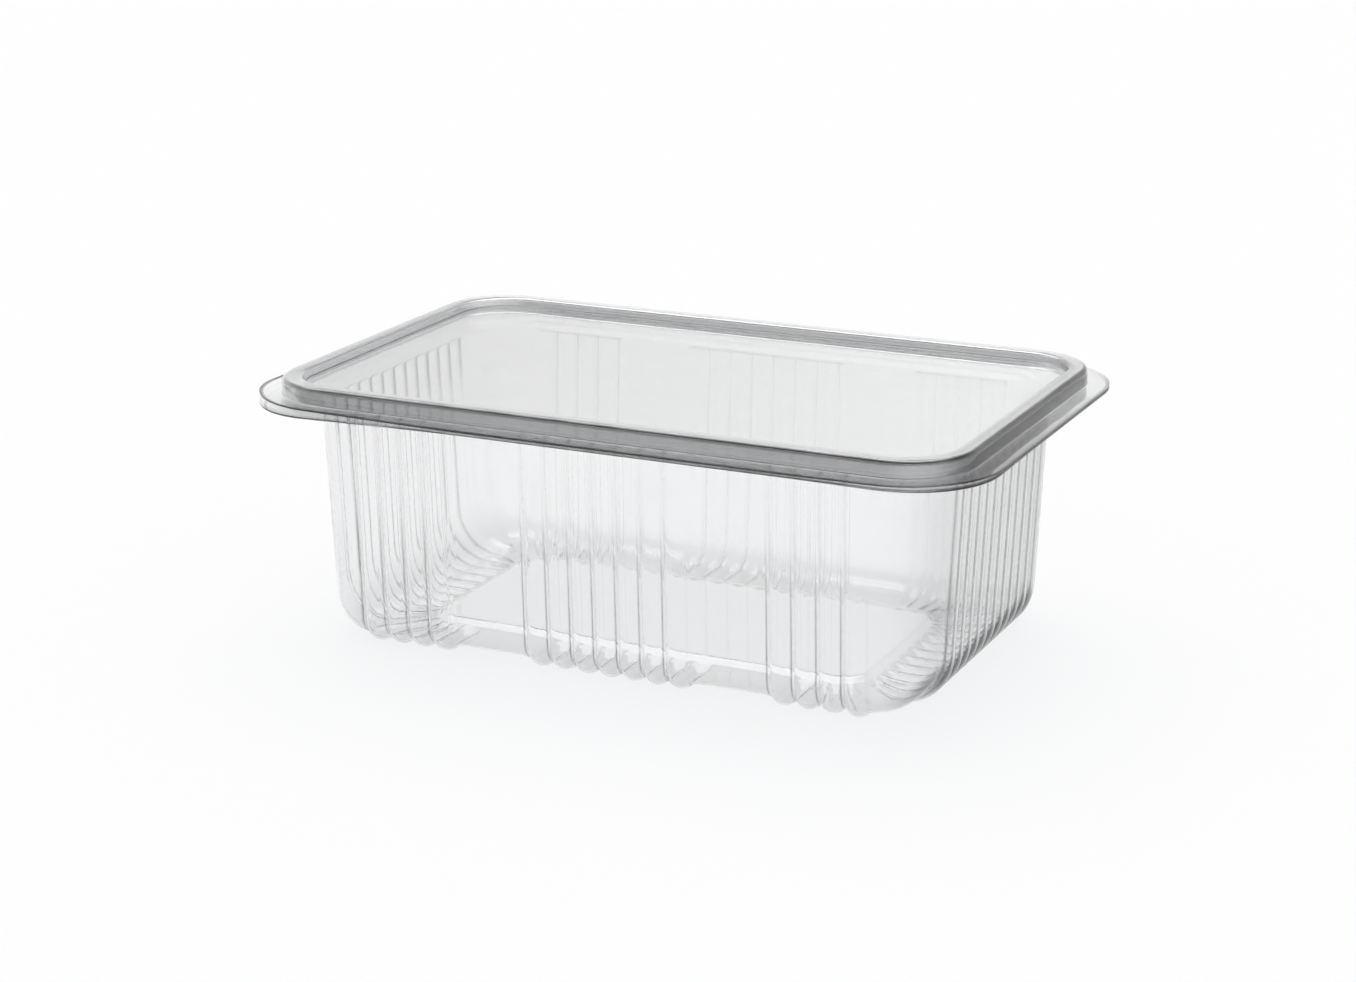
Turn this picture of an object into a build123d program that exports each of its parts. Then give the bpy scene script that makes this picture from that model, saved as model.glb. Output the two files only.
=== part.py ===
from build123d import *
import os
from math import atan2, cos, radians, sin, tan

# A clear thermoformed clamshell: a ribbed tub, a lid that snaps over the rim of the tub, and the living
# hinge that joins the two along the back. Lengths are in mm and angles in degrees. +Z is up, and the
# origin lies under the middle of the tub at the level of its feet.

# Overall sizes
flange_length = 200.0
flange_width = 130.0
closed_height = 70.2
sheet = 0.4

# Rim: the lid's bead stands inside the flange and nests over the bead of the tub
flange_reach = 5.8
bead_height = 4.4
bead_width = 4.9
bead_corner = 18.0
nest_gap = 0.3
plug_gap = 1.0
panel_recess = 2.4

# Tub wall, measured in from the outer edge of the lid's bead
wall_inset = 7.9
wall_corner = 16.0
wall_draft = 2.5
shoulder_drop = 2.5
end_bend = 12.5
side_bend = 5.5

# Floor: a ring that stands clear of the table on the ribs, round a raised panel
rib_depth = 1.8
floor_panel_length = 123.0
floor_panel_width = 59.4
floor_panel_corner = 8.0
floor_panel_rise = 1.2

# Ribs: they run down the wall, round the bend and in under the floor, where they are the feet
rib_crest = 3.4
rib_flank = 45.0
rib_root = 0.3
rib_end_margin = 0.8
side_rib_pitch = 6.5
side_rib_facets = 2
side_middle_ribs = 7
side_corner_ribs = 4
side_corner_centre = 57.3
end_rib_pitch = 6.05
end_rib_facets = 2
end_ribs = 11

# Living hinge
hinge_length = 150.0

# Levels and reaches that follow from the sizes above
bead_half_length = flange_length / 2 - flange_reach
bead_half_width = flange_width / 2 - flange_reach
lid_flange_top = closed_height - bead_height
lid_flange_under = lid_flange_top - sheet
tub_flange_top = lid_flange_under - nest_gap
tub_flange_under = tub_flange_top - sheet
lid_panel_top = closed_height - panel_recess
tub_bead_top = closed_height - sheet - nest_gap
tub_bead_inset = sheet + nest_gap
tub_mouth_inset = bead_width - sheet - plug_gap
wall_top = tub_flange_under - shoulder_drop
ring_floor = rib_depth
fold_level = lid_flange_under - nest_gap / 2
fold_radius = sheet + nest_gap / 2
fold_line = flange_width / 2 - fold_radius


def rim_block(low, high, inset):
    """Solid rounded rectangle between two levels, set in from the outer face of the lid's bead."""
    with BuildPart() as block:
        with BuildSketch(Plane.XY.offset(low)):
            RectangleRounded(
                2 * (bead_half_length - inset),
                2 * (bead_half_width - inset),
                bead_corner - inset,
            )
        extrude(amount=high - low)
    return block.part


def flange_plate(low, high):
    """Flat flange all round, trimmed along the back to the line about which the lid folds."""
    with BuildPart() as plate:
        add(rim_block(low, high, -flange_reach))
        split(bisect_by=Plane.XZ.offset(-fold_line), keep=Keep.TOP)
    return plate.part


def bend_centre(top_reach, bend, floor):
    """How far out the centre of the bend between wall and floor lies."""
    draft = radians(wall_draft)
    return top_reach - (wall_top - floor - bend) * tan(draft) - bend / cos(draft)


def tub_form(skin):
    """Solid form of the tub below its rim, with every surface moved inwards by a skin."""
    draft = radians(wall_draft)
    floor = ring_floor + skin
    mouth = tub_mouth_inset - sheet + skin
    shoulder_turn = atan2(wall_inset - mouth, shoulder_drop)
    mitre = skin * tan(shoulder_turn / 2)
    inset = wall_inset + skin / cos(draft)
    end_radius = end_bend - skin
    end_centre = bend_centre(bead_half_length - inset, end_radius, floor)
    wall_foot = (end_centre + end_radius * cos(draft), floor + end_radius * (1 - sin(draft)))
    turn_middle = radians(45 + wall_draft / 2)
    bend_middle = (
        end_centre + end_radius * sin(turn_middle),
        floor + end_radius * (1 - cos(turn_middle)),
    )
    with BuildPart() as form:
        with BuildSketch(Plane.XY.offset(wall_top + mitre)) as wall_outline:
            RectangleRounded(
                2 * (bead_half_length - inset + mitre * tan(draft)),
                2 * (bead_half_width - inset + mitre * tan(draft)),
                wall_corner - skin,
            )
        extrude(amount=floor - wall_top - mitre, taper=wall_draft)
        fillet(form.faces().sort_by(Axis.Z)[0].edges(), side_bend - skin)
        with BuildSketch(Plane.XZ):
            with BuildLine():
                ThreePointArc(wall_foot, bend_middle, (end_centre, floor))
                Polyline(
                    (end_centre, floor),
                    (end_centre, floor - end_bend),
                    (wall_foot[0] + end_bend, floor - end_bend),
                    (wall_foot[0] + end_bend, wall_foot[1]),
                    wall_foot,
                )
            make_face()
            mirror(about=Plane.YZ)
        extrude(amount=bead_half_width, both=True, mode=Mode.SUBTRACT)
        with BuildSketch(Plane.XY.offset(tub_flange_under + mitre)) as mouth_outline:
            RectangleRounded(
                2 * (bead_half_length - mouth),
                2 * (bead_half_width - mouth),
                bead_corner - mouth,
            )
        loft([wall_outline.sketch, mouth_outline.sketch], ruled=True)
        with BuildSketch(Plane.XY.offset(floor)):
            RectangleRounded(
                floor_panel_length + 2 * skin,
                floor_panel_width + 2 * skin,
                floor_panel_corner + skin,
            )
        extrude(amount=floor_panel_rise, mode=Mode.SUBTRACT)
    return form.part


def rib_comb(skin, half_span, bend, facets, panel_half, pitch, count):
    """A row of ribs on the wall that faces -Y, from the shoulder down and in to the floor panel."""
    draft = radians(wall_draft)
    floor = ring_floor + skin
    radius = bend - skin
    top_reach = half_span - wall_inset - skin / cos(draft)
    top = (0, -top_reach - shoulder_drop * tan(draft), tub_flange_under)
    turn = radians(90 - wall_draft) / (facets + 1)
    vertex_radius = radius / cos(turn / 2)
    bend_angles = [draft + turn * (facet + 0.5) for facet in range(facets + 1)]
    bend_points = [
        (
            0,
            -bend_centre(top_reach, radius, floor) - vertex_radius * cos(angle),
            floor + radius - vertex_radius * sin(angle),
        )
        for angle in bend_angles
    ]
    half_crest = rib_crest / 2 - skin * tan(radians(rib_flank) / 2)
    flank_slope = tan(radians(rib_flank))
    root = rib_root + vertex_radius - radius
    root_run = (rib_depth + root) / flank_slope
    valley = rib_depth - (pitch / 2 - half_crest) * flank_slope
    places = centred_row(count, pitch)
    teeth = []
    for place in places:
        teeth += [(place - half_crest, rib_depth), (place + half_crest, rib_depth)]
        if place != places[-1]:
            teeth.append((place + pitch / 2, valley))
    row_end = places[-1] + half_crest + root_run
    with BuildPart() as comb:
        with BuildLine() as path:
            Polyline(top, *bend_points, (0, -panel_half - rib_end_margin - skin, floor))
        with BuildSketch(Plane(top, x_dir=(1, 0, 0), z_dir=(0, sin(draft), -cos(draft)))):
            with BuildLine():
                Polyline((-row_end, -root), *teeth, (row_end, -root), close=True)
            make_face()
        sweep(path=path.line, transition=Transition.RIGHT)
    return comb.part


def centred_row(count, pitch):
    """Places of a row of ribs about its middle."""
    return [pitch * (index - (count - 1) / 2) for index in range(count)]


def ribbed_form(skin):
    """The tub's form with the ribs of all four walls."""
    side = (bead_half_width, side_bend, side_rib_facets, floor_panel_width / 2, side_rib_pitch)
    end = (bead_half_length, end_bend, end_rib_facets, floor_panel_length / 2, end_rib_pitch)
    middle_comb = rib_comb(skin, *side, side_middle_ribs)
    corner_comb = rib_comb(skin, *side, side_corner_ribs)
    end_comb = rib_comb(skin, *end, end_ribs)
    with BuildPart() as form:
        add(tub_form(skin))
        for turn in (0, 180):
            with Locations(Location((0, 0, 0), (0, 0, turn))):
                add(middle_comb)
            with Locations(
                Location((side_corner_centre, 0, 0), (0, 0, turn)),
                Location((-side_corner_centre, 0, 0), (0, 0, turn)),
            ):
                add(corner_comb)
            with Locations(Location((0, 0, 0), (0, 0, turn + 90))):
                add(end_comb)
    return form.part


with BuildPart() as tub:
    add(flange_plate(tub_flange_under, tub_flange_top))
    add(rim_block(tub_flange_under, tub_bead_top, tub_bead_inset))
    add(rim_block(tub_flange_under, tub_bead_top - sheet, tub_bead_inset + sheet), mode=Mode.SUBTRACT)
    add(rim_block(tub_flange_under, tub_bead_top, tub_mouth_inset - sheet))
    add(ribbed_form(0))
    add(rim_block(tub_flange_under, tub_bead_top, tub_mouth_inset), mode=Mode.SUBTRACT)
    add(ribbed_form(sheet), mode=Mode.SUBTRACT)
tub.part.label = "tub"

with BuildPart() as lid:
    add(flange_plate(lid_flange_under, lid_flange_top))
    add(rim_block(lid_flange_under, closed_height, 0))
    add(rim_block(lid_flange_under, closed_height - sheet, sheet), mode=Mode.SUBTRACT)
    add(rim_block(lid_panel_top - sheet, closed_height, bead_width - sheet))
    add(rim_block(lid_panel_top, closed_height, bead_width), mode=Mode.SUBTRACT)
lid.part.label = "lid"

with BuildPart() as hinge:
    with BuildSketch(Plane.YZ.offset(-hinge_length / 2)):
        with Locations((fold_line, fold_level)):
            Circle(fold_radius)
            Circle(nest_gap / 2, mode=Mode.SUBTRACT)
            Rectangle(
                fold_radius,
                2 * fold_radius,
                align=(Align.MAX, Align.CENTER),
                mode=Mode.SUBTRACT,
            )
    extrude(amount=hinge_length)
hinge.part.label = "hinge"

os.makedirs("parts", exist_ok=True)
for piece in (tub, lid, hinge):
    export_step(piece.part, f"parts/{piece.part.label}.step")
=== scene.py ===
import math

import bpy
import numpy as np
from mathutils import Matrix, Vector


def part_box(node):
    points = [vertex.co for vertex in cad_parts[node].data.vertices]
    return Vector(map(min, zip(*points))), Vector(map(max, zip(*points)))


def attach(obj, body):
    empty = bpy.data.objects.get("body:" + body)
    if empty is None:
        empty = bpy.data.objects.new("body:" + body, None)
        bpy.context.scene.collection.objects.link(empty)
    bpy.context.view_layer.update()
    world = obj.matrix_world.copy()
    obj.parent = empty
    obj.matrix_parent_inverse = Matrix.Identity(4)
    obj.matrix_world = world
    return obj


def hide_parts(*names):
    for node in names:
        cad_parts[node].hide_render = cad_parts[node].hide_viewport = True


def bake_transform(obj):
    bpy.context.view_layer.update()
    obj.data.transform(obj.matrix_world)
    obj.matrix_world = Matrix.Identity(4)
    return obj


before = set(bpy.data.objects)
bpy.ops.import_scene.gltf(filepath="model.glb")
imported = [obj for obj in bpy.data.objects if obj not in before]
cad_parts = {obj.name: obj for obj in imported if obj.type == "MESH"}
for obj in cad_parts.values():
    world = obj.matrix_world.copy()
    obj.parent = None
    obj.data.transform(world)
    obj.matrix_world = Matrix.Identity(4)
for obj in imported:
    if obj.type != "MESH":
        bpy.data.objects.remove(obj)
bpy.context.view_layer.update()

# A clear thermoformed clamshell pack, closed, on a pale floor. Lengths are in mm, and MM turns them
# into the metres of the frame. Each half is one thin sheet, drawn as rows of points round the rim, from
# the cut edge of the flange inwards, with an upper and a lower face. A value that differs from wall to
# wall is given for the front, the right end, the back and the left end.
MM = 0.001

# Sizes of the frame
lid_low, lid_high = (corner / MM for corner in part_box("lid"))
hinge_low, hinge_high = (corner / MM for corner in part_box("hinge"))
closed_height = lid_high.z
flange_half_length = lid_high.x
flange_half_width = -lid_low.y
fold_line = lid_high.y
tub_bead_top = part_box("tub")[1].z / MM

# Sheet and rim, with the radii of the bends from the flange inwards
sheet = 0.4
nest_gap = 0.3
plug_gap = 1.0
flange_reach = 5.8
bead_height = 4.4
bead_width = 4.9
bead_corner = 18.0
panel_recess = 2.4
tub_bend_radii = (0.6, 0.45, 0.45, 0.7, 0.7)
lid_bend_radii = (0.6, 1.3, 0.9, 0.7)
profile_run_out = 5.0

# How far the trim of the flange along the fold draws in for each mm from the cut edge
fold_trim_lean = 0.3

# Parting of the two flanges at the front corners: the gap at the corner and how far from it the gap runs.
# The fade and the bow are exponents of the shares along and across the flange.
left_parting = (2.4, 66.0)
right_parting = (0.9, 45.0)
tub_parting_share = -0.6
lid_parting_share = 0.4
parting_fade = 1.2
flange_bow = 1.3

# Walls
wall_inset = 7.9
wall_corner = 16.0
wall_draft = math.radians(2.5)
shoulder_drop = 2.5
end_bend = 12.5
side_bend = 5.5

# Floor: a ring round a raised panel
floor_level = 1.8
floor_panel_half_length = 61.5
floor_panel_half_width = 29.7
floor_panel_corner = 8.0
floor_panel_rise = 1.2
floor_panel_slope_width = 2.4
floor_panel_flat_inset = 3.0

# Up to these distances from the middle of a wall the ring runs straight in to the panel. The rest fans
# out round the corner of the panel, and there the corner of the wall counts as a run of fan_corner.
straight_in_side = 50.0
straight_in_end = 18.0
fan_corner = 8.0

# Ribs
rib_depth = 1.8
rib_valley_radius = 1.1
rib_row_fade = 2.4
rib_top = 62.2
rib_top_round = 1.8
rib_end_margin = 0.8
rib_end_run = 3.5
side_rib_pitch = 6.5
side_rib_valley = 0.25
side_middle_ribs = 7
side_corner_ribs = 4
side_corner_centre = 57.3
end_rib_pitch = 6.05
end_rib_valley = 0.475
end_ribs = 11

# Divisions of the meshes
crest_segments = 8
valley_segments = 4
row_fade_shares = (0.4, 0.7, 1.0, 3.0)
station_digits = 5
slope_step = 0.002
tub_corner_steps = 14
lid_corner_steps = 16
lid_side_stations = 41
lid_end_stations = 25
tub_fold_steps = 3
lid_fold_steps = 6
flange_steps = 4
flange_edge_shares = (0.0, 0.06, 0.16)
wall_top_drops = (0.25, 0.55, 0.95, 1.5, 2.4)
wall_steps = 8
bend_steps = 12
ring_shares = (0.7, 0.35, 0.0)
rib_end_shares = (0.8, 0.6, 0.4, 0.2, 0.0)
panel_slope_steps = 6
hinge_steps = 10
sharp_angle = math.radians(38)

# Painted shade on the folds: how dark each is painted, a row for the cut edge, then one for each bend
tub_fold_shade_lines = [
    (0.9, 1.0, 0.45, 0.5),
    (0.3, 0.3, 0.2, 0.2),
    (0.35, 0.4, 0.2, 0.2),
    (0.35, 0.4, 0.2, 0.2),
    (0.4, 0.5, 0.3, 0.3),
    (0.35, 0.4, 0.2, 0.3),
]
lid_fold_shade_lines = [
    (1.0, 0.9, 0.6, 1.0),
    (0.5, 0.6, 0.3, 0.3),
    (1.0, 1.0, 0.45, 0.25),
    (0.5, 0.5, 0.4, 0.3),
    (0.5, 0.5, 0.5, 0.95),
]

# Exponents of the painted fold shade: the lean puts the darkest place past the middle of a bend, and a lower
# spread widens the line
fold_line_lean = 1.3
fold_line_spread = 0.6

# The painted shade line on the cut edge: its share at each of the flange's edge shares, and its fade along
# the pack, as places from the left end (-1) to the right end (1) with the share at each
flange_edge_shade_lines = (1.0, 1.0, 0.8)
tub_edge_fade = ((-1.0, 0.3), (0.7, 1.0))
lid_edge_fade = ((0.0, 1.0), (1.0, 0.7))

# Painted shade in the valleys of the ribs: how dark at shares of the way down each wall, and on the floor
valley_line_depths = (0.0, 0.14, 0.26, 0.55, 1.0)
valley_shade_lines = [
    (0.3, 0.3, 0.35, 0.82, 0.92),
    (0.85, 0.85, 0.85, 0.9, 1.0),
    (0.3, 0.2, 0.1, 0.0, 0.0),
    (1.0, 0.95, 0.4, 0.2, 0.15),
]
floor_line_share = 0.1
floor_line_fade = 2.0
side_row_end_line_share = 0.35
end_row_end_line_share = 1.0
rib_end_line_gain = 1.6
side_line_width = 0.65
end_line_width = 1.6

# Painted shade: how grey the sheet is painted, from clear (0) to the greyest (1). Two values are exponents:
# the focus fades the grey of the rim at the corners, and the lean of a bend puts its grey near the wall.
outer_leg_grey = (0.6, 1.0, 0.33, 0.12)
bead_top_grey = (0.0, 0.0, 0.0, 0.3)
inner_leg_grey = (0.6, 0.7, 0.35, 0.14)
flange_grey = (0.4, 0.65, 0.1, 0.0)
flange_grey_back_share = 0.1
rim_grey_focus = 1.5
wall_grey = (0.0, 0.31, 0.0, 0.0)
bend_grey = (0.0, 0.85, 0.12, 0.05)
bend_grey_lean = 5
ring_grey = 0.2
lid_panel_grey = 0.28
lid_panel_grey_lean = -0.13
hinge_grey = 1.0

# Tints of the sheet seen square on and aslant. The clear tint darkens aslant partly for the longer path
# through the sheet and partly as painted shade; the grey tints and the tint of the dark lines are painted
# shade
clear_tint = (0.955, 0.958, 0.959, 1)
clear_tint_aslant = (0.89, 0.894, 0.897, 1)
painted_shade_tint = (0.57, 0.572, 0.575, 1)
painted_shade_tint_aslant = (0.04, 0.041, 0.042, 1)
painted_line_tint = (0.03, 0.031, 0.032, 1)
passed_light_tint = (0.97, 0.973, 0.973, 1)

# Surface of the sheet. Noise is given as scale and detail, and the focus is an exponent that narrows the
# painted shade lines.
plastic_ior = 1.57
line_focus = 2.5
line_noise = (90.0, 1.0)
line_noise_gain = 0.6
line_noise_base = 0.6
roughness_noise = (35.0, 3.0)
roughness_range = (0.015, 0.06)
bump_noise = (45.0, 1.0)
bump_strength = 0.15
bump_distance = 0.0006

# Studio. The places of the floor and the camera are in metres.
floor_reach = 6.0
floor_colour = (0.96, 0.96, 0.96, 1)
floor_roughness = 0.9
sky_low_height = 0.35
sky_low_colour = (1, 1, 1, 1)
sky_high_height = 0.75
sky_high_colour = (0.3, 0.3, 0.31, 1)
key_energy = 1.75
key_spread = math.radians(60)
key_turn = (math.radians(-18), math.radians(-14), 0)
camera_lens = 77.3
camera_sensor = 36.0
camera_shift = (-0.0069, 0.0027)
camera_eye = Vector((0.3089, -0.6647, 0.2559))
camera_target = Vector((0.0, 0.0, 0.0360))
light_bounces = 40
glossy_bounces = 8

# What follows from the sizes
half_sheet = sheet / 2
bead_half_length = flange_half_length - flange_reach
bead_half_width = flange_half_width - flange_reach
lid_flange_middle = closed_height - bead_height - half_sheet
tub_flange_middle = lid_flange_middle - sheet - nest_gap
lid_panel_middle = closed_height - panel_recess - half_sheet
tub_bead_inset = sheet + nest_gap
mouth_inset = bead_width - sheet - plug_gap
wall_top = tub_flange_middle - half_sheet - shoulder_drop
rim_straight = bead_half_length - bead_corner
wall_straight = bead_half_length - wall_inset - wall_corner
wall_straight_end = bead_half_width - wall_inset - wall_corner
floor_middle = floor_level + half_sheet
partings = [
    (np.array((-flange_half_length, -flange_half_width)), *left_parting),
    (np.array((flange_half_length, -flange_half_width)), *right_parting),
]


def unit(vector):
    return vector / np.linalg.norm(vector)


def left_of(direction):
    return np.array((-direction[1], direction[0]))


def turned(vector, angle):
    return math.cos(angle) * vector + math.sin(angle) * left_of(vector)


def smooth(values):
    """Zero up to 0, one from 1 on, and a soft step between."""
    values = np.clip(values, 0, 1)
    return values * values * (3 - 2 * values)


def rounded_end(distance, length):
    """Share of a rib's height at a distance from its end, which is rounded over a length."""
    share = np.clip(1 - distance / length, 0, 1)
    return np.sqrt(1 - share * share)


def new_object(name, data):
    """Shows a mesh, a light or a camera in the scene."""
    made = bpy.data.objects.new(name, data)
    bpy.context.scene.collection.objects.link(made)
    return made


def new_node(tree, kind, sockets=None, **settings):
    """A shader node. Each socket named is set to a value or linked to another node's output."""
    made = tree.nodes.new(kind)
    for key, value in settings.items():
        setattr(made, key, value)
    for key, value in (sockets or {}).items():
        if isinstance(value, bpy.types.NodeSocket):
            tree.links.new(value, made.inputs[key])
        else:
            made.inputs[key].default_value = value
    return made


def make_piece(name, points, faces, marks):
    """A smooth piece from points in mm, with marks: named values that the material reads at each point."""
    mesh = bpy.data.meshes.new(name)
    mesh.from_pydata((np.array(points) * MM).tolist(), [], faces)
    for label, values in marks.items():
        layer = mesh.attributes.new(label, "FLOAT", "POINT")
        layer.data.foreach_set("value", np.asarray(values, np.float32))
    mesh.polygons.foreach_set("use_smooth", np.ones(len(mesh.polygons), bool))
    mesh.set_sharp_from_angle(angle=sharp_angle)
    mesh.validate()
    return new_object(name, mesh)


def make_sheet(name, upper, lower, marks):
    """A closed sheet from rows of upper and lower points, from the cut edge in to a flat middle."""
    rows, count = upper.shape[:2]
    index = np.arange(rows * count).reshape(rows, count)
    ahead = np.roll(index, -1, axis=1)
    to_lower = rows * count
    quads = np.stack([index[:-1], ahead[:-1], ahead[1:], index[1:]], axis=-1).reshape(-1, 4)
    edge = np.stack([index[0] + to_lower, ahead[0] + to_lower, ahead[0], index[0]], axis=-1)
    faces = np.concatenate([quads, quads[:, ::-1] + to_lower, edge]).tolist()
    faces.append(index[-1].tolist())
    faces.append((index[-1][::-1] + to_lower).tolist())
    points = np.concatenate([upper.reshape(-1, 3), lower.reshape(-1, 3)])
    both_faces = {label: np.tile(values.reshape(-1), 2) for label, values in marks.items()}
    return make_piece(name, points, faces, both_faces)


def bent_line(corners, radii, lines, arc_steps):
    """Middle line of a folded sheet through (inset, level) corners, with rounded bends.

    Gives the points, their normals on the left, and how dark a line of painted shade each shows on the four
    walls. The rows of lines are for the cut edge and for each bend.
    """
    lines = np.array(lines)
    corners = np.array(corners)
    points = [corners[0]]
    normals = [left_of(unit(corners[1] - corners[0]))]
    darkness = [lines[0]]
    for before, corner, after, radius, line in zip(corners, corners[1:], corners[2:], radii, lines[1:]):
        arriving = unit(corner - before)
        leaving = unit(after - corner)
        turn = math.atan2(left_of(arriving) @ leaving, arriving @ leaving)
        side = math.copysign(1, turn)
        start = corner - arriving * radius * math.tan(abs(turn) / 2)
        centre = start + left_of(arriving) * radius * side
        for share in np.linspace(0, 1, arc_steps + 1):
            normal = turned(left_of(arriving), turn * share)
            points.append(centre - normal * radius * side)
            normals.append(normal)
            darkness.append(line * math.sin(math.pi * share**fold_line_lean) ** fold_line_spread)
    points.append(corners[-1])
    normals.append(left_of(leaving))
    darkness.append(0 * lines[0])
    return np.array(points), np.array(normals), np.array(darkness)


def divided_flange(points, normals, darkness):
    """The same middle line with its first run, the flange, divided so that it can warp."""
    shares = np.append(flange_edge_shares, np.arange(1, flange_steps) / flange_steps)
    run = points[0] + np.outer(shares, points[1] - points[0])
    dark = np.zeros((len(shares), len(darkness[0])))
    dark[: len(flange_edge_shade_lines)] = np.outer(flange_edge_shade_lines, darkness[0])
    return (
        np.concatenate([run, points[1:]]),
        np.concatenate([np.repeat(normals[:1], len(shares), axis=0), normals[1:]]),
        np.concatenate([dark, darkness[1:]]),
    )


def perimeter(side_places, end_places, corner_steps):
    """Shares of the straight runs and the angle out at each station, anticlockwise from the front left."""
    side = np.array(side_places)
    end = np.array(end_places)
    arc = np.linspace(0, 1, corner_steps + 1)[1:-1]
    runs = [
        (side, np.full_like(side, -1)),
        (np.full_like(end, 1), end),
        (-side, np.full_like(side, 1)),
        (np.full_like(end, -1), -end),
    ]
    share_x, share_y, turns = [], [], []
    for turn, (run_x, run_y) in enumerate(runs, start=-1):
        share_x += [run_x, np.full_like(arc, run_x[-1])]
        share_y += [run_y, np.full_like(arc, run_y[-1])]
        turns += [np.full_like(run_x, turn), turn + arc]
    return np.concatenate(share_x), np.concatenate(share_y), np.concatenate(turns) * math.pi / 2


class Rim:
    """Stations of one half of the pack, and the points on them at an inset from the lid's bead."""

    def __init__(self, side_places, end_places, corner_steps):
        self.x, self.y, angle = perimeter(side_places, end_places, corner_steps)
        x, y = np.cos(angle), np.sin(angle)
        self.out = np.stack([x, y], axis=1)
        self.count = len(angle)
        self.on_side = np.isclose(np.abs(y), 1)
        self.on_end = np.isclose(np.abs(x), 1)
        self.end_share = np.arctan2(np.abs(x), np.abs(y)) / (math.pi / 2)
        self.wall_shares = np.clip([-y, x, y, -x], 0, 1) ** 2

    def at(self, inset):
        """Plan position of every station at one inset, or at an inset for each station."""
        straight = np.interp(inset, [mouth_inset - sheet, wall_inset], [rim_straight, wall_straight])
        radius = bead_half_length - inset - straight
        straight_end = bead_half_width - inset - radius
        plan = np.stack([self.x * straight, self.y * straight_end], axis=1)
        return plan + self.out * np.reshape(radius, (-1, 1))

    def row(self, inset, level, normal):
        """A row of points at one inset and level, and the normals of its upper face."""
        points = np.column_stack([self.at(inset), np.full(self.count, level)])
        normals = np.column_stack([-self.out * normal[0], np.full(self.count, normal[1])])
        return points, normals


class Comb:
    """Rows of ribs along a wall. The middle of the sheet follows tangent arcs of crests and valleys."""

    def __init__(self, rows, pitch, valley, run):
        self.rows = rows
        self.pitch = pitch
        self.valley = valley
        self.run = run
        self.flank = 2 * math.atan2(2 * (rib_depth - valley), pitch)
        self.valley_radius = rib_valley_radius + half_sheet
        self.crest_radius = pitch / 2 / math.sin(self.flank) - self.valley_radius

    def stations(self):
        """Shares of the straight run at which the ribs need points: on each crest, valley and plain edge."""
        crest = self.crest_radius * np.sin(self.flank * np.linspace(-1, 1, crest_segments + 1))
        valley = self.valley_radius * np.sin(self.flank * np.linspace(-1, 1, valley_segments + 1)[1:-1])
        fade = rib_row_fade * np.array(row_fade_shares)
        places = [-self.run, self.run]
        for row in self.rows:
            first_edge = row[0] - self.pitch / 2
            last_edge = row[-1] + self.pitch / 2
            for place in row:
                places += [*(place + crest), *(place - self.pitch / 2 + valley)]
            places += [*(last_edge + valley), *(first_edge - fade), *(last_edge + fade)]
        places = np.clip(places, -self.run, self.run)
        return np.unique(np.round(places / self.run, station_digits))

    def wave(self, offset):
        """Height at an offset from the middle of the nearest rib."""
        crest = self.crest_radius
        valley = self.valley_radius
        to_valley = self.pitch / 2 - offset
        on_crest = rib_depth - crest + np.sqrt(np.clip(crest**2 - offset**2, 0, None))
        in_valley = self.valley + valley - np.sqrt(np.clip(valley**2 - to_valley**2, 0, None))
        return np.where(offset <= crest * math.sin(self.flank), on_crest, in_valley)

    def height(self, along):
        """How far the middle of the sheet stands out of the plain wall."""
        heights = np.zeros_like(along)
        for row in self.rows:
            middle = (row[0] + row[-1]) / 2
            beyond = np.abs(along - middle) - (row[-1] - middle) - self.pitch / 2
            offset = np.abs((along - row[0] + self.pitch / 2) % self.pitch - self.pitch / 2)
            fade = self.valley * smooth(1 - beyond / rib_row_fade)
            heights = np.maximum(heights, np.where(beyond <= 0, self.wave(offset), fade))
        return heights

    def slope(self, along):
        """How steeply the height changes along the wall."""
        return (self.height(along + slope_step) - self.height(along - slope_step)) / (2 * slope_step)

    def valley_marks(self, along, width, last_share):
        """One in each valley, a share at the last edge of a row, and down to zero over a width."""
        # Where the painted shade of the valleys goes
        marks = np.zeros_like(along)
        for row in self.rows:
            edges = [(place - self.pitch / 2, 1) for place in row]
            edges.append((row[-1] + self.pitch / 2, last_share))
            for edge, strength in edges:
                marks = np.maximum(marks, strength * (1 - np.abs(along - edge) / width))
        return marks


def rib_places(count, pitch, centre=0.0):
    return [centre + pitch * (index - (count - 1) / 2) for index in range(count)]


def warp_flange(points, inset, share):
    """Bends a flange row up or down near the front corners, most at its cut edge."""
    depth = (-inset / flange_reach) ** flange_bow
    for corner, gap, reach in partings:
        near = np.clip(1 - np.linalg.norm(points[:, :2] - corner, axis=1) / reach, 0, 1)
        points[:, 2] += share * gap * depth * near**parting_fade


def rim_rows(rim, line, normals, parting_share):
    """Points and normals along a middle line of the rim, with the flange trimmed at the fold and warped."""
    rows, ups = [], []
    for (inset, level), normal in zip(line, normals):
        points, up = rim.row(inset, level, normal)
        if inset < 0:
            trim = fold_line - fold_trim_lean * max(0, inset + flange_reach)
            points[:, 1] = np.minimum(points[:, 1], trim)
            warp_flange(points, inset, parting_share)
        rows.append(points)
        ups.append(up)
    return np.array(rows), np.array(ups)


def rim_creases(rim, line, darkness, edge_fade):
    """Painted shade on the rim's folds for each row and station, with the cut edge's line fading along the
    pack.
    """
    creases = darkness @ rim.wall_shares
    on_flange = line[:, 0] < -half_sheet
    creases[on_flange] *= np.interp(rim.x, *edge_fade)
    return creases


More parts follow.
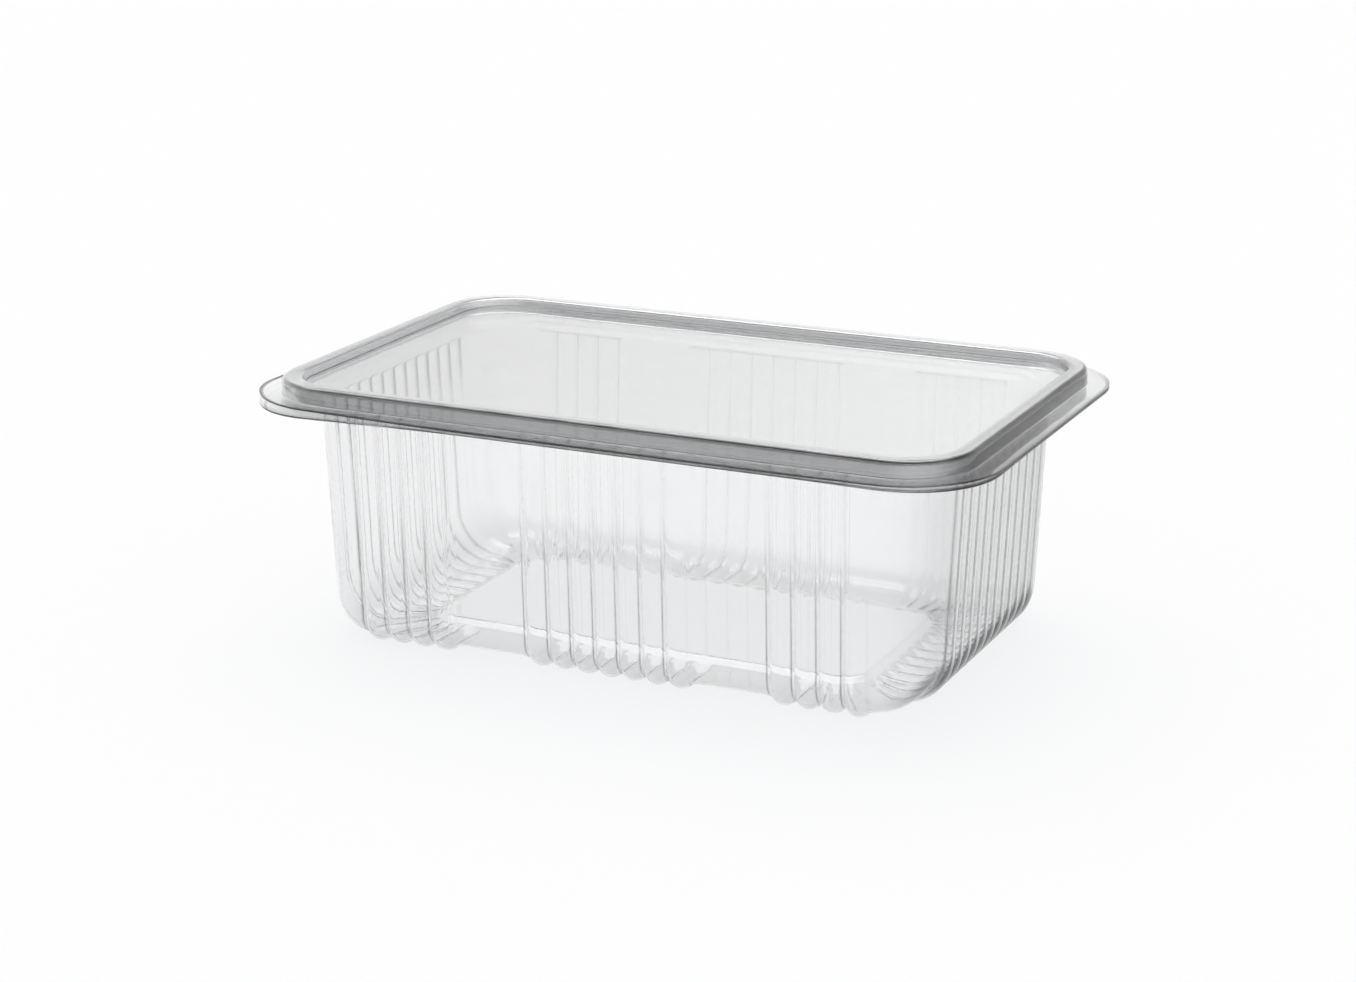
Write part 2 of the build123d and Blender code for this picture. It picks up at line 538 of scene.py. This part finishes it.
def rim_greys(rim, line, normals):
    """Painted shade on the rim: how grey each row and station is painted, on the flange, legs and top of the
    bead.
    """
    inset, level = line.T
    outer = (inset > 0) & (inset < bead_width / 2)
    inner = (inset > bead_width / 2) & (inset < bead_width)
    top = (outer | inner) & (level > lid_panel_middle)
    upright = np.abs(normals[:, 0])
    focus = rim.wall_shares**rim_grey_focus
    legs = np.stack([outer * upright, inner * upright, top * (1 - upright)], axis=1)
    bead = legs @ np.array([outer_leg_grey, inner_leg_grey, bead_top_grey]) @ focus
    flange = (flange_grey @ focus) * np.interp(rim.y, (-1, 1), (1, flange_grey_back_share))
    return bead + np.outer(inset < -half_sheet, flange)


def tub_profile():
    """Middle line of the tub's rim, from the cut edge to the top of the wall."""
    mitre = sheet * math.tan(math.atan2(wall_inset - mouth_inset + sheet, shoulder_drop) / 2)
    bead_outer = tub_bead_inset + half_sheet
    bead_inner = mouth_inset - half_sheet
    bead_top = tub_bead_top - half_sheet
    wall_middle = wall_inset + half_sheet
    wall_start = wall_top + mitre / 2
    corners = [
        (-flange_reach, tub_flange_middle),
        (bead_outer, tub_flange_middle),
        (bead_outer, bead_top),
        (bead_inner, bead_top),
        (bead_inner, wall_start + shoulder_drop),
        (wall_middle, wall_start),
        (wall_middle + profile_run_out * math.tan(wall_draft), wall_start - profile_run_out),
    ]
    line, normals, darkness = bent_line(corners, tub_bend_radii, tub_fold_shade_lines, tub_fold_steps)
    return divided_flange(line[:-1], normals[:-1], darkness[:-1])


def lid_profile():
    """Middle line of the lid, from the cut edge to the flat panel."""
    bead_outer = half_sheet
    bead_inner = bead_width - half_sheet
    bead_top = closed_height - half_sheet
    corners = [
        (-flange_reach, lid_flange_middle),
        (bead_outer, lid_flange_middle),
        (bead_outer, bead_top),
        (bead_inner, bead_top),
        (bead_inner, lid_panel_middle),
        (bead_width + profile_run_out, lid_panel_middle),
    ]
    return divided_flange(*bent_line(corners, lid_bend_radii, lid_fold_shade_lines, lid_fold_steps))


def panel_outline(rim):
    """Where each station meets the outline of the floor panel, and the way out of the panel there."""
    straight = floor_panel_half_length - floor_panel_corner
    straight_end = floor_panel_half_width - floor_panel_corner
    wall_total = wall_straight + fan_corner + wall_straight_end
    panel_total = straight + floor_panel_corner * math.pi / 2 + straight_end
    travel = np.select(
        [rim.on_side, rim.on_end],
        [np.abs(rim.x) * wall_straight, wall_total - np.abs(rim.y) * wall_straight_end],
        wall_straight + fan_corner * rim.end_share,
    )
    place = np.interp(
        travel,
        [0, straight_in_side, wall_total - straight_in_end, wall_total],
        [0, straight_in_side, panel_total - straight_in_end, panel_total],
    )
    turn = np.clip((place - straight) / floor_panel_corner, 0, math.pi / 2)
    out = np.stack([np.sin(turn), np.cos(turn)], axis=1)
    centre = np.stack([np.minimum(place, straight), np.minimum(panel_total - place, straight_end)], axis=1)
    signs = np.where(np.stack([rim.x, rim.y], axis=1) < 0, -1, 1)
    return (centre + floor_panel_corner * out) * signs, out * signs


def wall_rows(rim, start_inset, start_level):
    """Rows of the wall, the bend and the floor: middle points, ways out and shares of the rib depth."""
    bend = side_bend + (end_bend - side_bend) * smooth(rim.end_share) - half_sheet
    centre_level = floor_middle + bend
    foot_level = centre_level - bend * math.sin(wall_draft)
    foot_inset = start_inset + (start_level - foot_level) * math.tan(wall_draft)
    centre_inset = foot_inset + bend * math.cos(wall_draft)
    down = math.pi / 2
    rows = []

    def add(plan, level, slope, rib_share):
        points = np.column_stack([plan, np.broadcast_to(level, rim.count)])
        out = np.column_stack([rim.out * math.cos(slope), np.full(rim.count, -math.sin(slope))])
        rows.append((points, out, np.broadcast_to(rib_share, rim.count)))

    def add_wall(level):
        inset = start_inset + (start_level - level) * math.tan(wall_draft)
        add(rim.at(inset), level, wall_draft, rounded_end(rib_top - level, rib_top_round))

    for drop in wall_top_drops:
        add_wall(start_level - drop)
    upper_level = start_level - wall_top_drops[-1]
    for share in np.linspace(0, 1, wall_steps + 1)[1:]:
        add_wall(upper_level + share * (foot_level - upper_level))
    for slope in np.linspace(wall_draft, down, bend_steps + 1)[1:]:
        inset = centre_inset - bend * math.cos(slope)
        add(rim.at(inset), centre_level - bend * math.sin(slope), slope, 1.0)

    bend_end = rim.at(centre_inset)
    outline, outline_out = panel_outline(rim)
    run = np.linalg.norm(bend_end - outline, axis=1)
    rib_end_start = rib_end_margin + rib_end_run
    distances = [rib_end_start + (run - rib_end_start) * share for share in ring_shares]
    distances += [rib_end_margin + rib_end_run * share for share in rib_end_shares]
    for distance in distances:
        plan = outline + (bend_end - outline) * (distance / run)[:, None]
        add(plan, floor_middle, down, smooth((distance - rib_end_margin) / rib_end_run))
    for share in np.linspace(0, 1, panel_slope_steps + 1)[1:]:
        plan = outline - outline_out * (floor_panel_slope_width * share - rib_end_margin)
        add(plan, floor_middle + floor_panel_rise * smooth(share), down, 0.0)
    add(outline - outline_out * floor_panel_flat_inset, floor_middle + floor_panel_rise, down, 0.0)
    return (np.array(part) for part in zip(*rows))


def wall_creases(rim, middles, outs, rib_shares, valleys):
    """Painted shade in the valleys of the ribs down the walls, round the bend and on the floor."""
    depth = 1 - middles[..., 2] / wall_top
    dark = sum(
        np.interp(depth, valley_line_depths, lines) * share
        for lines, share in zip(valley_shade_lines, rim.wall_shares)
    )
    upright = np.hypot(outs[..., 0], outs[..., 1])
    floor_fade = floor_line_share + (1 - floor_line_share) * smooth(upright * floor_line_fade)
    return valleys * np.minimum(1, rib_shares * rib_end_line_gain) * floor_fade * dark


def wall_greys(rim, outs, rib_shares):
    """Painted shade: how grey the walls, the bend and the ring of the floor are painted.

    The painted shade of the bend is nothing on wall and floor, and most a little way into the turn.
    """
    upright = np.hypot(outs[..., 0], outs[..., 1])
    level = np.abs(outs[..., 2])
    lean = bend_grey_lean
    peak = lean ** (lean / 2) / (lean + 1) ** ((lean + 1) / 2)
    in_turn = upright**lean * np.clip(level - math.sin(wall_draft), 0, 1) / peak
    on_bend = bend_grey @ rim.wall_shares * in_turn
    on_wall = wall_grey @ rim.wall_shares * upright
    on_ring = ring_grey * level * (rib_shares > 0)
    return on_bend + on_wall + on_ring


def make_tub():
    """The tub: its rim, the ribbed walls and the floor."""
    side_rows = [
        rib_places(side_middle_ribs, side_rib_pitch),
        rib_places(side_corner_ribs, side_rib_pitch, side_corner_centre),
        rib_places(side_corner_ribs, side_rib_pitch, -side_corner_centre),
    ]
    side_comb = Comb(side_rows, side_rib_pitch, side_rib_valley, wall_straight)
    end_comb = Comb([rib_places(end_ribs, end_rib_pitch)], end_rib_pitch, end_rib_valley, wall_straight_end)
    rim = Rim(side_comb.stations(), end_comb.stations(), tub_corner_steps)
    line, normals, darkness = tub_profile()
    points, ups = rim_rows(rim, line, normals, tub_parting_share)

    along_side = rim.x * wall_straight
    along_end = rim.y * wall_straight_end
    height = rim.on_side * side_comb.height(along_side) + rim.on_end * end_comb.height(along_end)
    slope_x = rim.on_side * side_comb.slope(along_side)
    slope_y = rim.on_end * end_comb.slope(along_end)
    slopes = np.stack([slope_x, slope_y, np.zeros(rim.count)], axis=1)
    middles, outs, rib_shares = wall_rows(rim, *line[-1])
    ribbed = middles + outs * (height * rib_shares)[..., None]
    offsets = outs - slopes * rib_shares[..., None]
    offsets *= half_sheet / np.linalg.norm(offsets, axis=-1, keepdims=True)
    upper = np.concatenate([points + half_sheet * ups, ribbed - offsets])
    lower = np.concatenate([points - half_sheet * ups, ribbed + offsets])

    side_valleys = side_comb.valley_marks(along_side, side_line_width, side_row_end_line_share)
    end_valleys = end_comb.valley_marks(along_end, end_line_width, end_row_end_line_share)
    valleys = rim.on_side * side_valleys + rim.on_end * end_valleys
    creases = [
        rim_creases(rim, line, darkness, tub_edge_fade),
        wall_creases(rim, middles, outs, rib_shares, valleys),
    ]
    greys = [rim_greys(rim, line, normals), wall_greys(rim, outs, rib_shares)]
    marks = {"crease": np.concatenate(creases), "grey": np.concatenate(greys)}
    return make_sheet("tub_sheet", upper, lower, marks)


def make_lid():
    """The lid: its rim and the flat panel, with painted shade that is greyer towards the left."""
    side_places = np.linspace(-1, 1, lid_side_stations)
    end_places = np.linspace(-1, 1, lid_end_stations)
    rim = Rim(side_places, end_places, lid_corner_steps)
    line, normals, darkness = lid_profile()
    points, ups = rim_rows(rim, line, normals, lid_parting_share)
    creases = rim_creases(rim, line, darkness, lid_edge_fade)
    greys = rim_greys(rim, line, normals)
    # Painted shade on the flat panel, greyer towards the left
    on_panel = line[:, 0] >= bead_width
    greys[on_panel] = lid_panel_grey + lid_panel_grey_lean * points[on_panel, :, 0] / bead_half_length
    marks = {"crease": creases, "grey": greys}
    return make_sheet("lid_sheet", points + half_sheet * ups, points - half_sheet * ups, marks)


def make_hinge():
    """The fold along the back: half a turn of sheet about the line on which the lid swings."""
    fold_level = (hinge_low.z + hinge_high.z) / 2
    outer_radius = (hinge_high.z - hinge_low.z) / 2
    inner_radius = outer_radius - sheet
    points = []
    for x in (hinge_low.x, hinge_high.x):
        for angle in np.linspace(-math.pi / 2, math.pi / 2, hinge_steps + 1):
            for radius in (inner_radius, outer_radius):
                y = fold_line + radius * math.cos(angle)
                z = fold_level + radius * math.sin(angle)
                points.append((x, y, z))
    size = len(points) // 2
    faces = []
    for inner in range(0, 2 * hinge_steps, 2):
        outer, next_inner, next_outer = inner + 1, inner + 2, inner + 3
        faces += [
            (inner, next_inner, next_outer, outer),
            (inner + size, outer + size, next_outer + size, next_inner + size),
            (outer, next_outer, next_outer + size, outer + size),
            (next_inner, inner, inner + size, next_inner + size),
        ]
    faces += [(0, 1, 1 + size, size), (size - 1, size - 2, 2 * size - 2, 2 * size - 1)]
    # The fold is painted fully grey: painted shade
    marks = {"crease": np.zeros(len(points)), "grey": np.full(len(points), hinge_grey)}
    return make_piece("hinge_fold", points, faces, marks)


def clear_sheet_material():
    """Clear PET: glossy and see-through, with painted shade from the grey and crease marks of the sheet."""
    material = bpy.data.materials.new("clear_pet_sheet")
    material.use_nodes = True
    tree = material.node_tree
    tree.nodes.clear()
    place = new_node(tree, "ShaderNodeTexCoord").outputs["Object"]

    def math_node(operation, first, second):
        return new_node(tree, "ShaderNodeMath", {0: first, 1: second}, operation=operation).outputs[0]

    def mix_colour(factor, first, second):
        sockets = {"Factor": factor, "A": first, "B": second}
        return new_node(tree, "ShaderNodeMix", sockets, data_type="RGBA").outputs["Result"]

    def noise(scale, detail):
        sockets = {"Scale": scale, "Detail": detail, "Vector": place}
        return new_node(tree, "ShaderNodeTexNoise", sockets).outputs[0]

    def mark(label):
        return new_node(tree, "ShaderNodeAttribute", attribute_name=label).outputs["Fac"]

    # Painted shade: dark lines from the crease mark, broken up by noise
    speckle = math_node("MULTIPLY", noise(*line_noise), line_noise_gain)
    speckle = math_node("ADD", speckle, line_noise_base)
    line = math_node("MULTIPLY", math_node("POWER", mark("crease"), line_focus), speckle)
    # Painted shade from the grey mark, darker aslant; the clear tint darkens aslant partly for the longer
    # path through the sheet and partly as painted shade
    facing = new_node(tree, "ShaderNodeLayerWeight").outputs["Facing"]
    clear = mix_colour(facing, clear_tint, clear_tint_aslant)
    grey = mix_colour(facing, painted_shade_tint, painted_shade_tint_aslant)
    tint = mix_colour(line, mix_colour(mark("grey"), clear, grey), painted_line_tint)

    rough_low, rough_high = roughness_range
    rough_sockets = {"Value": noise(*roughness_noise), "To Min": rough_low, "To Max": rough_high}
    rough = new_node(tree, "ShaderNodeMapRange", rough_sockets)
    bump_sockets = {"Height": noise(*bump_noise), "Strength": bump_strength, "Distance": bump_distance}
    bump = new_node(tree, "ShaderNodeBump", bump_sockets)
    plastic_sockets = {
        "Base Color": tint,
        "Roughness": rough.outputs["Result"],
        "Normal": bump.outputs["Normal"],
        "Transmission Weight": 1.0,
        "IOR": plastic_ior,
    }
    plastic = new_node(tree, "ShaderNodeBsdfPrincipled", plastic_sockets)

    # Light passes straight through, so the thin sheet casts only a faint shadow
    straight_through = new_node(tree, "ShaderNodeBsdfTransparent", {"Color": passed_light_tint})
    rays = new_node(tree, "ShaderNodeLightPath").outputs
    carries_light = math_node("MAXIMUM", rays["Is Shadow Ray"], rays["Is Diffuse Ray"])
    surface_sockets = {0: carries_light, 1: plastic.outputs[0], 2: straight_through.outputs[0]}
    surface = new_node(tree, "ShaderNodeMixShader", surface_sockets)
    new_node(tree, "ShaderNodeOutputMaterial", {"Surface": surface.outputs[0]})
    return material


def make_floor():
    mesh = bpy.data.meshes.new("floor")
    corners = [(x * floor_reach, y * floor_reach, 0) for x, y in ((-1, -1), (1, -1), (1, 1), (-1, 1))]
    mesh.from_pydata(corners, [], [(0, 1, 2, 3)])
    material = bpy.data.materials.new("pale_floor")
    material.use_nodes = True
    shader = material.node_tree.nodes["Principled BSDF"]
    shader.inputs["Base Color"].default_value = floor_colour
    shader.inputs["Roughness"].default_value = floor_roughness
    shader.inputs["Specular IOR Level"].default_value = 0.0
    mesh.materials.append(material)
    new_object("floor", mesh)


def make_world():
    """White round about and greyer overhead, so that the sheet has something darker to reflect."""
    world = bpy.data.worlds.new("studio")
    bpy.context.scene.world = world
    world.use_nodes = True
    tree = world.node_tree
    place = new_node(tree, "ShaderNodeTexCoord").outputs["Generated"]
    split = new_node(tree, "ShaderNodeSeparateXYZ", {0: place})
    ramp = new_node(tree, "ShaderNodeValToRGB", {0: split.outputs["Z"]})
    low, high = ramp.color_ramp.elements
    low.position = sky_low_height
    low.color = sky_low_colour
    high.position = sky_high_height
    high.color = sky_high_colour
    tree.links.new(ramp.outputs[0], tree.nodes["Background"].inputs["Color"])


def add_key_light():
    """A broad even light from above and behind on the left, like a large softbox far away."""
    light = bpy.data.lights.new("key_light", "SUN")
    light.energy = key_energy
    light.angle = key_spread
    new_object("key_light", light).rotation_euler = key_turn


def make_camera():
    camera = bpy.data.cameras.new("camera")
    camera.lens = camera_lens
    camera.sensor_width = camera_sensor
    camera.shift_x, camera.shift_y = camera_shift
    holder = new_object("camera", camera)
    holder.location = camera_eye
    holder.rotation_euler = (camera_target - camera_eye).to_track_quat("-Z", "Y").to_euler()
    bpy.context.scene.camera = holder


clear_sheet = clear_sheet_material()
tub_sheet = make_tub()
lid_sheet = make_lid()
hinge_fold = make_hinge()
for piece, node_name in ((tub_sheet, "tub"), (lid_sheet, "lid"), (hinge_fold, "hinge")):
    piece.data.materials.append(clear_sheet)
    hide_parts(node_name)
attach(tub_sheet, "tub")
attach(lid_sheet, "lid")
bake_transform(hinge_fold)

make_floor()
make_world()
add_key_light()
make_camera()
scene = bpy.context.scene
scene.view_settings.view_transform = "Standard"
scene.cycles.max_bounces = light_bounces
scene.cycles.transmission_bounces = light_bounces
scene.cycles.transparent_max_bounces = light_bounces
scene.cycles.glossy_bounces = glossy_bounces
